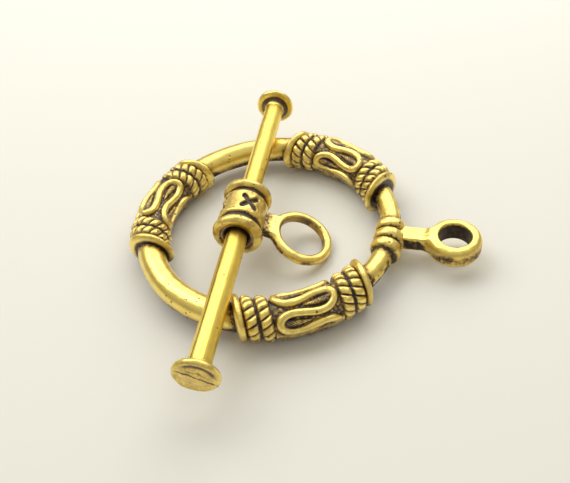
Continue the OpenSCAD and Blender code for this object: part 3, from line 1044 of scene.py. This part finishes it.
@dataclass(frozen=True)
class Eyelet:
    """A flat round eye with a straight-walled hole, and a neck that widens into it.

    centre, out and axis: the hole's middle, the direction away from the neck and the hole's axis.
    outer, hole and height: the eye's outer radius, the hole's radius and the eye's thickness.
    edge and hole_edge: radii of the rounded edges outside and at the hole.
    neck_length: distance from the hole's middle to the neck's end.
    blend: how tight the fillet between circle and neck is.
    """

    kind: Holed
    centre: Vector
    out: Vector
    axis: Vector
    outer: float
    hole: float
    height: float
    edge: float
    hole_edge: float
    neck_width: float
    neck_height: float
    neck_length: float
    blend: float
    seed: int
    lumps: Lumps = Lumps(broad=0.016, broad_size=1.3, fine=0.006, fine_size=0.45)
    columns: int = 320

    def outline(self, angle: Array) -> Array:
        """Distance from the hole's middle to the outline.

        The circle and the neck's straight sides are joined with a fillet: the root of the sum of
        their distances, each to the same high power.

        Args:
            angle: angle from the neck's direction.

        Returns:
            The distances, one for each angle.
        """
        nearly_square, nearly_ahead = 1e-3, 1e-6
        circle = self.outer + 0.0 * angle
        forward = np.cos(angle) > nearly_square
        side = self.neck_width / 2.0 / np.maximum(np.abs(np.sin(angle)), nearly_ahead)
        end = self.neck_length / np.maximum(np.cos(angle), nearly_square)
        neck = np.where(forward, np.minimum(side, end), 0.0)
        return (circle ** self.blend + neck ** self.blend) ** (1.0 / self.blend)

    def angles(self) -> Array:
        """Places of the columns, spaced evenly along the outline.

        Returns:
            Their angles from the neck's direction.
        """
        fine_steps = 20001
        fine = np.linspace(-math.pi, math.pi, fine_steps)
        out = self.outline(fine)
        steps = np.hypot(np.diff(out * np.cos(fine)), np.diff(out * np.sin(fine)))
        travelled = np.concatenate([[0.0], np.cumsum(steps)])
        wanted = np.linspace(0.0, travelled[-1], self.columns, endpoint=False)
        return np.interp(wanted, travelled, fine)

    def section(self) -> tuple[Array, Array]:
        """Section of the eye from its hole's wall up, over the top, down outside and back below.

        Returns:
            For each row the inner length, the share of the flat face and the outer length that make
            up its distance from the hole, and each row's height. The rows join in a closed loop.
        """
        wall_rows, inner_rows, flat_rows, outer_rows, side_rows = 18, 8, 24, 14, 10
        half, inner_edge, outer_edge = self.height / 2.0, self.hole_edge, self.edge
        wall = np.linspace(inner_edge - half, half - inner_edge, wall_rows)[1:-1]
        inner = np.radians(np.linspace(0.0, 90.0, inner_rows))
        flat = np.linspace(0.0, 1.0, flat_rows)[1:-1]
        outer = np.radians(np.linspace(90.0, 0.0, outer_rows))
        side = np.linspace(half - outer_edge, outer_edge - half, side_rows)[1:-1]
        rows = ((0.0, 0.0, 0.0, wall),
                (inner_edge * (1.0 - np.cos(inner)), 0.0, 0.0, half - inner_edge * (1.0 - np.sin(inner))),
                (inner_edge, flat, 0.0, half),
                (inner_edge, 1.0, outer_edge * np.cos(outer), half - outer_edge * (1.0 - np.sin(outer))),
                (inner_edge, 1.0, outer_edge, side))
        wall, *top, side = (np.stack(np.broadcast_arrays(*row), -1) for row in rows)
        below = np.concatenate(top)[::-1] * np.array([1.0, 1.0, 1.0, -1.0])
        loop = np.concatenate([wall, *top, side, below])
        return loop[:, :3], loop[:, 3]

    def surface(self) -> Surface:
        """The eyelet as one closed grid: section rows, and columns round the hole.

        Returns:
            The grid, thinner from the eye towards the neck.
        """
        angle = self.angles()[None, :]
        lengths, heights = self.section()
        room = self.outline(angle) - self.hole - self.hole_edge - self.edge
        distance = self.hole + lengths[:, :1] + lengths[:, 1:2] * room + lengths[:, 2:]
        thinner = rise(distance, self.outer - 0.25, 0.7)
        up = heights[:, None] * (1.0 + thinner * (self.neck_height / self.height - 1.0))
        angle = np.repeat(angle, len(distance), axis=0)
        x, y = -distance * np.cos(angle), distance * np.sin(angle)
        across = np.array(self.axis.cross(self.out))
        points = (np.array(self.centre) + x[..., None] * np.array(self.out)
                  + y[..., None] * across + up[..., None] * np.array(self.axis))
        inner = fall(distance, self.hole + 0.12, 0.12)
        soft = self.lumps.height(points, self.seed) * (1.0 - inner) * np.sign(up)
        points = points + soft[..., None] * np.array(self.axis)
        wear_and_shade, grit = self.finish(points, distance, angle, up, inner)
        return Surface(points, wear_and_shade, grit, rows_join=True)

    def finish(self, points: Array, distance: Array, angle: Array, up: Array,
               inner: Array) -> tuple[Array, Array]:
        """Wear and grit: dark in the hole and round the outside, solder where the neck is joined. The eye's
        hole is dark with patina and painted shade.

        Args:
            points: the grid's places.
            distance: their distance from the hole's middle.
            angle: their angle from the neck's direction.
            up: their height over the eye's middle plane.
            inner: 1 on the hole's wall, 0 away from it.

        Returns:
            Wear and grit for each point.
        """
        high = up / (self.height / 2.0)
        patchy = clouds(points, 1.6, self.seed + 4, contrast=0.55)
        outside = rise(distance, self.outline(angle) - 0.14, 0.12)
        neck = rise(distance, self.outer - 0.15, 0.5) * (np.cos(angle) > 0.0)
        places = [(Tone(darker=0.65, rougher=0.6), outside * bell(high - 0.05, 0.55) * patchy)]
        if self.kind is Holed.RING_EYE:
            flank = neck * fall(high, 0.7, 0.3)
            places += [(Tone(darker=0.4), flank * (0.4 + 0.8 * patchy)),
                       # The eye's hole wall: patina and painted shade.
                       (Tone(darker=1.1), inner * fall(high, 0.88, 0.25)),
                       (Tone(rougher=0.7), flank),
                       (Tone(rougher=0.4), inner)]
        else:
            wall = fall(distance, self.hole + 0.24, 0.24) * (np.abs(high) < 0.999)
            joint = rise(distance, self.outer + 0.05, 0.4) * (np.cos(angle) > 0.6)
            places += [(Tone(darker=0.6), wall * (0.6 + 0.4 * patchy)),
                       (Tone(darker=0.45, rougher=0.8), joint),
                       (Tone(darker=0.35), joint * patchy),
                       (Tone(rougher=0.35), neck)]
        return toned(0.94, 0.1, *places)


@dataclass(frozen=True)
class BarAxis:
    """The bar's own axes: its middle, along it, across it to the loop, and square to both."""

    middle: Vector
    along: Vector
    to_loop: Vector
    up: Vector

    @classmethod
    def from_loop(cls, centre: Vector, normal: Vector, reach: float) -> "BarAxis":
        """Works the axes out from the loop's hole.

        Args:
            centre: the hole's middle, in millimetres.
            normal: the hole's axis.
            reach: distance from the bar's axis to the hole's middle.

        Returns:
            The axes. The bar lies level, so it runs square to the hole's axis and to +Z.
        """
        along = Vector((-normal.y, normal.x, 0.0)).normalized()
        to_loop = along.cross(normal).normalized()
        return cls(centre - reach * to_loop, along, to_loop, normal.normalized())

    def place(self, along: Array, turned: Array, out: Array) -> Array:
        """Points round the bar: turned is the angle from the loop's side towards the top."""
        return (np.array(self.middle) + along[..., None] * np.array(self.along)
                + (out * np.cos(turned))[..., None] * np.array(self.to_loop)
                + (out * np.sin(turned))[..., None] * np.array(self.up))


@dataclass(frozen=True)
class Shaft:
    """The bar's long round shaft, filed lengthwise so that faint flats run along it.

    flats and flat_share: how many flats there are, and how flat they are, from 0 for none to 1.
    streak_at and streak_width: angle of a dark file mark from the loop's side, in degrees, and its
        width, in radians.
    hidden_half: half of the length that lies in the barrel.
    """

    axis: BarAxis
    length: float = 27.2
    diameter: float = 1.54
    flats: int = 8
    flat_share: float = 0.42
    streak_at: float = 150.0
    streak_width: float = 0.07
    hidden_half: float = 2.1
    lumps: Lumps = Lumps(broad=0.005, broad_size=2.4, fine=0.003, fine_size=0.7)
    seed: int = 51
    rows: int = 300
    columns: int = 104

    def surface(self) -> Surface:
        """A round bar on its way to an eight-sided one, with flats that wander a little along it.

        Over each flat, the radius dips by a share of what lies between the circle and the eight-sided
        figure inside it. The bar is dark in a streak, and below, at both ends and beside the barrel with
        patina and painted shade.

        Returns:
            The shaft's grid.
        """
        radius = self.diameter / 2.0
        places = np.linspace(-self.length / 2.0, self.length / 2.0, self.rows)
        along, turned, out = turned_grid(np.stack([places, np.full(self.rows, radius)], -1), self.columns)
        points = self.axis.place(along, turned, out)
        drift = 0.014 * np.sin(along / 4.3) + 0.008 * np.sin(along / 1.9 + 1.0)
        half_flat = math.pi / self.flats
        across = (turned + drift) % (2.0 * half_flat) - half_flat
        dips = self.flat_share * (1.0 - math.cos(half_flat) / np.cos(across))
        out = radius * (1.0 - dips) + self.lumps.height(points, self.seed)
        off_streak = wrapped(turned - math.radians(self.streak_at)) + 0.05 * np.sin(along / 2.0)
        past_barrel = np.maximum(np.abs(along) - self.hidden_half, 0.0)
        # Below, at both ends inside the discs' flares and where it leaves the barrel, the shaft is darker
        # with patina and painted shade.
        wear_and_shade, grit = toned(0.98, 0.08,
                           (Tone(darker=0.75), bell(off_streak, self.streak_width)),
                           (Tone(darker=0.4), rise(-np.sin(turned), 0.55, 0.4)),
                           (Tone(darker=0.55, rougher=0.2),
                            bell(self.length / 2.0 - 0.25 - np.abs(along), 0.35)),
                           (Tone(darker=0.8), bell(past_barrel, 0.25)))
        return Surface(self.axis.place(along, turned, out), wear_and_shade, grit)


@dataclass(frozen=True)
class EndDisc:
    """A disc at one end of the bar, flared behind and slightly domed in front.

    sign: 1 at the end that the bar's direction points to, -1 at the other.
    flare_length and flare_diameter: length of the flare behind the disc, and its diameter there.
    dome and crease: how far the face is domed, and the width of the ring-shaped dent round the dome.
    """

    axis: BarAxis
    sign: float
    seed: int
    bar_length: float = 27.9
    shaft_diameter: float = 1.54
    diameter: float = 3.1
    thickness: float = 0.5
    flare_length: float = 0.5
    flare_diameter: float = 2.2
    dome: float = 0.05
    crease: float = 0.3
    lumps: Lumps = Lumps(broad=0.012, broad_size=1.0, fine=0.005, fine_size=0.4)
    step: float = 0.03
    columns: int = 180

    def section(self) -> Array:
        """From inside the shaft, up the hollow flare, round the disc's edge and over its face.

        The flare's radius grows as a power of the way along it. The face rises to its middle as a
        parabola, and a bell takes the dent out of it.

        Returns:
            Points as (distance from the bar's middle, radius).
        """
        end = self.bar_length / 2.0
        back = end - self.thickness
        shaft = self.shaft_diameter / 2.0
        share = np.linspace(0.0, 1.0, 24)
        flare = np.stack([back - self.flare_length * (1.0 - share),
                          shaft - 0.02 + (self.flare_diameter / 2.0 - shaft) * share ** 2.2], -1)
        edge = self.thickness / 2.0
        rim = arc((back + edge, self.diameter / 2.0 - edge), edge, 180.0, 0.0, 40)
        reach = np.linspace(self.diameter / 2.0 - edge, 0.02, 60)
        dent = self.diameter / 2.0 - self.thickness
        domed = 1.0 - (reach / dent) ** 2 - bell(reach - dent, self.crease / 1.6)
        face = np.stack([end + self.dome * domed, reach], -1)
        start = np.array([[back - self.flare_length - 0.1, shaft - 0.06]])
        return evenly(np.concatenate([start, flare, rim, face]), self.step)

    def surface(self) -> Surface:
        """The section turned about the bar's axis, with two bent scratches across the face.

        It is dark in the scratches and in the upper part of the dent, and behind the disc with patina and
        painted shade.

        Returns:
            The disc's grid.
        """
        along, turned, out = turned_grid(self.section() * np.array([self.sign, 1.0]), self.columns)
        points = self.axis.place(along, turned, out)
        lumps = self.lumps.height(points, self.seed)
        out = out * (1.0 + 0.6 * lumps)
        x, y = out * np.cos(turned), out * np.sin(turned)
        front = rise(np.abs(along), self.bar_length / 2.0 - 0.2, 0.1)
        bent = y - 0.12 * np.cos(1.6 * x) + 0.05 * unevenness(points, 0.8, self.seed + 2)
        scratch = front * bell(bent + 0.06 * x, 0.07) * fall(np.abs(x), 1.4, 0.3)
        second = front * bell(bent - 0.55 + 0.35 * np.abs(x), 0.05) * fall(np.abs(x), 0.8, 0.3)
        along = along + self.sign * (lumps - 0.03 * scratch - 0.01 * second)
        dent = self.diameter / 2.0 - 0.8 * self.thickness
        back = self.bar_length / 2.0 - self.thickness
        # Behind the disc, round the shaft in the flare: patina and painted shade.
        behind = (fall(out, self.flare_diameter / 2.0 + 0.12, 0.18)
                  * fall(np.abs(along), back + 0.12, 0.05)
                  * rise(np.abs(along), back - 0.8 * self.flare_length, 0.25))
        wear_and_shade, grit = toned(0.92, 0.12,
                           (Tone(darker=0.14, rougher=0.15), front),
                           (Tone(darker=0.75), front * bell(out - dent, 0.16) * smooth(y - 0.15)),
                           (Tone(darker=0.8), behind),
                           (Tone(darker=0.7), scratch),
                           (Tone(darker=0.35), second))
        return Surface(self.axis.place(along, turned, out), wear_and_shade, grit)


@dataclass(frozen=True)
class Barrel:
    """The banded barrel at the bar's middle, with a bead at each end and punched x marks.

    dish_depth: how deep the barrel's ends are dished round the shaft.
    mark_length, mark_width and mark_depth: size of each stroke of a mark.
    mark_places: angles of the marks from the loop's side, in degrees.
    """

    axis: BarAxis
    shaft_diameter: float = 1.54
    bead_diameter: float = 3.6
    bead_width: float = 0.78
    body_diameter: float = 3.3
    body_length: float = 2.16
    body_corner: float = 0.14
    groove_diameter: float = 2.9
    groove_width: float = 0.42
    dish_depth: float = 0.34
    mark_length: float = 1.8
    mark_width: float = 0.46
    mark_depth: float = 0.2
    mark_places: tuple[float, ...] = (90.0, 180.0, 270.0)
    lumps: Lumps = Lumps(broad=0.012, broad_size=1.2, fine=0.005, fine_size=0.4)
    shade: Shade = Shade(darker=2.4, rows=12)
    seed: int = 71
    step: float = 0.03
    columns: int = 300

    def half_section(self) -> Array:
        """From the middle of the body out: groove, bead, and the dish down to the shaft.

        Returns:
            Points as (distance from the bar's middle, radius).
        """
        body, bead, corner = self.body_length / 2.0, self.bead_width / 2.0, self.body_corner
        middle = body + self.groove_width + bead
        floor, shaft = self.groove_diameter / 2.0, self.shaft_diameter / 2.0
        plain = np.array([[0.0, self.body_diameter / 2.0]])
        shoulder = arc((body - corner, self.body_diameter / 2.0 - corner), corner, 90.0, 0.0, 8)
        groove = np.array([[body + 0.02, floor + 0.06],
                           [body + 0.1, floor],
                           [body + self.groove_width - 0.1, floor]])
        crown = arc((middle, self.bead_diameter / 2.0 - bead), bead, 182.0, -42.0, 60)
        depth_and_radius = ((0.13, 1.1), (0.14, 0.96), (0.22, 0.86), (self.dish_depth, shaft + 0.03),
                            (self.dish_depth + 0.1, shaft - 0.06))
        dish = np.array([[middle + bead - depth, radius] for depth, radius in depth_and_radius])
        return evenly(np.concatenate([plain, shoulder, groove, crown, dish]), self.step)

    def marks(self, along: Array, turned: Array) -> Array:
        """Depth of the punched marks as a share: each is two crossed strokes with round ends.

        Args:
            along: place along the bar.
            turned: angle round the bar, from the loop's side.

        Returns:
            1 in the bottom of a stroke, 0 outside.
        """
        depth = np.zeros_like(along)
        reach = (self.mark_length - self.mark_width) / 2.0
        for middle in self.mark_places:
            y = wrapped(turned - math.radians(middle)) * self.body_diameter / 2.0
            for lean in (1.0, -1.0):
                lengthwise = (along + lean * y) / math.sqrt(2.0)
                sideways = (along - lean * y) / math.sqrt(2.0)
                beyond = np.maximum(np.abs(lengthwise) - reach, 0.0)
                near = np.hypot(beyond, sideways) / (self.mark_width / 2.0)
                depth = np.maximum(depth, fall(near, 1.12, 0.75))
        return depth

    def surface(self) -> Surface:
        """The section turned about the bar's axis, with the marks pressed into it.

        It is dark in the marks and the grooves, in the dishes with patina, painted shade and a painted
        brown reflection, and a little in clouds all over.

        Returns:
            The barrel's grid.
        """
        half = self.half_section()
        section = np.concatenate([half[::-1] * np.array([-1.0, 1.0]), half[1:]])
        along, turned, base = turned_grid(section, self.columns)
        points = self.axis.place(along, turned, base)
        body = self.body_length / 2.0
        from_middle = np.abs(along)
        pressed = self.marks(along, turned) * fall(from_middle, body, 0.1)
        out = base - self.mark_depth * pressed + self.lumps.height(points, self.seed)
        dished = rise(from_middle, body + self.groove_width + self.bead_width - 0.5, 0.2)
        off_groove = np.abs(from_middle - body - self.groove_width / 2.0)
        wear_and_shade, grit = toned(0.88 + self.shade.wear_and_shade(base), 0.12,
                           (Tone(darker=0.95, rougher=0.6), pressed),
                           # Round the shaft in the dishes: patina and painted shade; a little further out a
                           # painted brown reflection.
                           (Tone(darker=0.9), dished * fall(base, 1.1, 0.14)),
                           (Tone(darker=0.4), dished * bell(base - 1.18, 0.1)),
                           (Tone(darker=0.22), clouds(points, 0.9, self.seed + 2, 0.4, 0.8)),
                           (Tone(darker=0.9), fall(off_groove, self.groove_width / 2.0 + 0.03, 0.08)),
                           (Tone(rougher=0.25), rise(from_middle, body - 0.35, 0.3) * (from_middle < body)))
        return Surface(self.axis.place(along, turned, out), wear_and_shade, grit)


@dataclass(frozen=True)
class PhotoCamera:
    """The photograph's viewpoint: direction and distance from a point on the clasp, and lens."""

    azimuth: float = 19.054
    elevation: float = 45.105
    distance: float = 50.79
    target: tuple[float, float, float] = (1.583, -1.629, 1.58)
    roll: float = -7.616
    focal_px: float = 696.25
    frame_px: float = 570.0

    def build(self) -> bpy.types.Object:
        """Makes the camera and hands it to the scene.

        Returns:
            The camera.
        """
        back, roll = direction(self.azimuth, self.elevation), math.radians(self.roll)
        right = (-back).cross(Vector((0.0, 0.0, 1.0))).normalized()
        up = right.cross(-back)
        right, up = (right * math.cos(roll) + up * math.sin(roll),
                     up * math.cos(roll) - right * math.sin(roll))
        data = bpy.data.cameras.new("photo_camera")
        data.sensor_width = 36.0
        data.lens = self.focal_px / self.frame_px * data.sensor_width
        data.clip_start = 0.001
        data.clip_end = 10.0
        camera = add_object("photo_camera", data)
        turn = Matrix((right, up, back)).transposed().to_4x4()
        camera.matrix_world = Matrix.Translation((Vector(self.target) + back * self.distance) * MM) @ turn
        bpy.context.scene.camera = camera
        return camera


@dataclass(frozen=True)
class SoftLight:
    """A softbox: a square lamp that faces the clasp from that azimuth and elevation."""

    name: str
    azimuth: float
    elevation: float
    distance: float
    size: float
    watts: float
    colour: str = "#FFFFFF"

    def build(self) -> bpy.types.Object:
        """Makes the lamp.

        Returns:
            The lamp, which faces the middle of the clasp.
        """
        towards = direction(self.azimuth, self.elevation)
        data = bpy.data.lights.new(self.name, "AREA")
        data.size = self.size * MM
        data.energy = self.watts
        data.color = linear_colour(self.colour)[:3]
        lamp = add_object(self.name, data)
        lamp.location = towards * self.distance * MM
        lamp.rotation_euler = towards.to_track_quat("Z", "Y").to_euler()
        return lamp


@dataclass(frozen=True)
class Studio:
    """Pale floor, soft lamps and a pale room."""

    floor_size: float = 900.0
    floor_colour: str = "#ECEAE2"
    lamps: tuple[SoftLight, ...] = (
        SoftLight("window_left", azimuth=248.0, elevation=50.0, distance=190.0, size=130.0, watts=0.13,
                  colour="#FFFEFA"),
        SoftLight("window_behind", azimuth=172.0, elevation=46.0, distance=125.0, size=130.0, watts=0.088,
                  colour="#FFFEFA"),
    )
    sky_high: str = "#FFFEF8"
    sky_low: str = "#C2B69C"
    sky_strength: float = 0.59

    def floor(self) -> bpy.types.Object:
        """A flat pale sheet under the clasp, matt paper.

        Returns:
            The sheet, which is part of the stage and not of the clasp.
        """
        half = self.floor_size / 2.0 * MM
        corners = [(x * half, y * half, 0.0) for x, y in ((-1, -1), (1, -1), (1, 1), (-1, 1))]
        mesh = bpy.data.meshes.new("floor")
        mesh.from_pydata(corners, [], [(0, 1, 2, 3)])
        material = bpy.data.materials.new("matt_paper")
        tree = empty_tree(material)
        shader = add_node(tree, "ShaderNodeBsdfPrincipled",
                          values={"Base Color": linear_colour(self.floor_colour), "Roughness": 0.9,
                                  "Specular IOR Level": 0.15})
        add_node(tree, "ShaderNodeOutputMaterial", links={"Surface": shader.outputs["BSDF"]})
        mesh.materials.append(material)
        floor = add_object("floor", mesh)
        return floor

    def room(self) -> None:
        """A world that is white overhead and greyer towards the level of the table."""
        world = bpy.data.worlds.new("pale_room")
        bpy.context.scene.world = world
        tree = empty_tree(world)
        direction = add_node(tree, "ShaderNodeTexCoord").outputs["Generated"]
        parts = add_node(tree, "ShaderNodeSeparateXYZ", links={0: direction})
        share = add_range(tree, parts.outputs["Z"], (0.0, 0.8), interpolation_type="SMOOTHSTEP")
        colour = add_node(tree, "ShaderNodeMix", data_type="RGBA", links={0: share},
                          values={6: linear_colour(self.sky_low), 7: linear_colour(self.sky_high)})
        background = add_node(tree, "ShaderNodeBackground", links={"Color": colour.outputs[2]},
                              values={"Strength": self.sky_strength})
        add_node(tree, "ShaderNodeOutputWorld", links={"Surface": background.outputs["Background"]})

    def build(self) -> None:
        """Makes the floor, the room and the lamps."""
        self.floor()
        self.room()
        for lamp in self.lamps:
            lamp.build()
        bpy.context.scene.view_settings.view_transform = "Standard"


@dataclass(frozen=True)
class ToggleRing:
    """The ring: wire, three sleeves, connector beads and eye.

    sleeves: each sleeve's name, its place in degrees from +X and the seed of its skin.
    """

    line: RingLine
    eye_centre: Vector
    eye_hole: float
    eye_height: float
    sleeves: tuple[tuple[str, float, int], ...] = (("far", 60.5, 11), ("left", 177.0, 18),
                                                   ("near", -60.0, 25))
    eye_outer: float = 1.88
    eye_edge: float = 0.46
    eye_hole_edge: float = 0.15
    eye_seed: int = 41
    neck_width: float = 1.24
    neck_height: float = 1.12
    neck_blend: float = 5.0

    def build(self, wire: AntiqueGold, relief: AntiqueGold) -> None:
        """Makes the ring's pieces.

        Args:
            wire: finish of the plain wire and the eye.
            relief: finish of the sleeves and beads.
        """
        plain, cast = wire.material(), relief.material()
        parts = {name: Sleeve(self.line, middle, seed) for name, middle, seed in self.sleeves}
        ring = RingWire(self.line, tuple(parts.values()))
        piece = ring.surface().build("ring_wire", plain, Body.RING, Slot.RING)
        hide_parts("toggle_ring")
        for name, sleeve in parts.items():
            sleeve.surface().build(f"sleeve_{name}", cast, Body.RING, Slot.RING)
        ConnectorBeads(self.line).surface().build("connector_beads", cast, Body.RING, Slot.RING)
        eye = Eyelet(Holed.RING_EYE, self.eye_centre, Vector((1.0, 0.0, 0.0)), Vector((0.0, 0.0, 1.0)),
                     outer=self.eye_outer, hole=self.eye_hole, height=self.eye_height,
                     edge=self.eye_edge, hole_edge=self.eye_hole_edge, neck_width=self.neck_width,
                     neck_height=self.neck_height, neck_length=self.eye_centre.x - self.line.radius,
                     blend=self.neck_blend, seed=self.eye_seed)
        eye.surface().build("ring_eye", plain, Body.RING, Slot.RING)


@dataclass(frozen=True)
class ToggleBar:
    """The bar: shaft, two end discs, barrel and loop.

    loop_reach: distance from the bar's axis to the middle of the loop's hole.
    neck_start: distance from the bar's axis at which the loop's neck starts, inside the barrel.
    discs: each end disc's name, the end that it is at, as EndDisc's sign, and the seed of its skin.
    """

    axis: BarAxis
    loop_centre: Vector
    loop_hole: float
    loop_thickness: float
    loop_reach: float
    loop_outer: float = 2.39
    loop_edge: float = 0.36
    loop_hole_edge: float = 0.26
    loop_seed: int = 81
    neck_width: float = 1.9
    neck_height: float = 0.72
    neck_start: float = 1.2
    neck_blend: float = 9.0
    discs: tuple[tuple[str, float, int], ...] = (("near", -1.0, 61), ("far", 1.0, 66))

    def build(self, shaft: AntiqueGold, turned: AntiqueGold) -> None:
        """Makes the bar's pieces.

        Args:
            shaft: finish of the shaft.
            turned: finish of the discs, the barrel and the loop.
        """
        bright, worn = shaft.material(), turned.material()
        piece = Shaft(self.axis).surface().build("bar_shaft", bright, Body.BAR, Slot.BAR)
        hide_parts("toggle_bar")
        Barrel(self.axis).surface().build("bar_barrel", worn, Body.BAR, Slot.BAR)
        for name, sign, seed in self.discs:
            disc = EndDisc(self.axis, sign, seed)
            disc.surface().build(f"end_disc_{name}", worn, Body.BAR, Slot.BAR)
        loop = Eyelet(Holed.BAR_LOOP, self.loop_centre, self.axis.to_loop, self.axis.up,
                      outer=self.loop_outer, hole=self.loop_hole, height=self.loop_thickness,
                      edge=self.loop_edge, hole_edge=self.loop_hole_edge, neck_width=self.neck_width,
                      neck_height=self.neck_height, neck_length=self.loop_reach - self.neck_start,
                      blend=self.neck_blend, seed=self.loop_seed)
        loop.surface().build("bar_loop", worn, Body.BAR, Slot.BAR)


def mount(name: str) -> tuple[Vector, Vector, float, float]:
    """A bore mount of the record: its middle, axis, radius and length, in millimetres."""
    found = next(m for m in frame["record"]["mounts"] if m["name"] == name)
    return (Vector(found["pos_m"]) / MM, Vector(found["axis"]), found["dims"]["r_mm"],
            found["dims"]["length_mm"])


def main() -> None:
    """Builds the ring, the bar, the studio and the camera."""
    logging.basicConfig(level=logging.INFO, format="%(message)s")
    wire = AntiqueGold("tumbled_antique_gold_wire", bright_roughness=0.27, mottle=0.14, lacquer=0.4)
    relief = AntiqueGold("cast_antique_gold_relief", bright_roughness=0.3, mottle=0.3, grain_depth=0.012,
                         lacquer=0.85)
    shaft = AntiqueGold("filed_antique_gold_shaft", gold="#FFE370", bright_roughness=0.36, mottle=0.12,
                        pit_depth=0.01)
    turned = AntiqueGold("turned_antique_gold", bright_roughness=0.27, mottle=0.22, lacquer=0.6)

    eye_centre, _, eye_hole, eye_height = mount("ring_eye")
    line = RingLine(radius=9.0, height=eye_centre.z)
    ToggleRing(line, eye_centre, eye_hole, eye_height).build(wire, relief)

    loop_reach = 4.62
    centre, normal, hole, thickness = mount("bar_loop")
    axis = BarAxis.from_loop(centre, normal, loop_reach)
    ToggleBar(axis, centre, hole, thickness, loop_reach).build(shaft, turned)

    Studio().build()
    PhotoCamera().build()


if __name__ == "__main__":
    main()
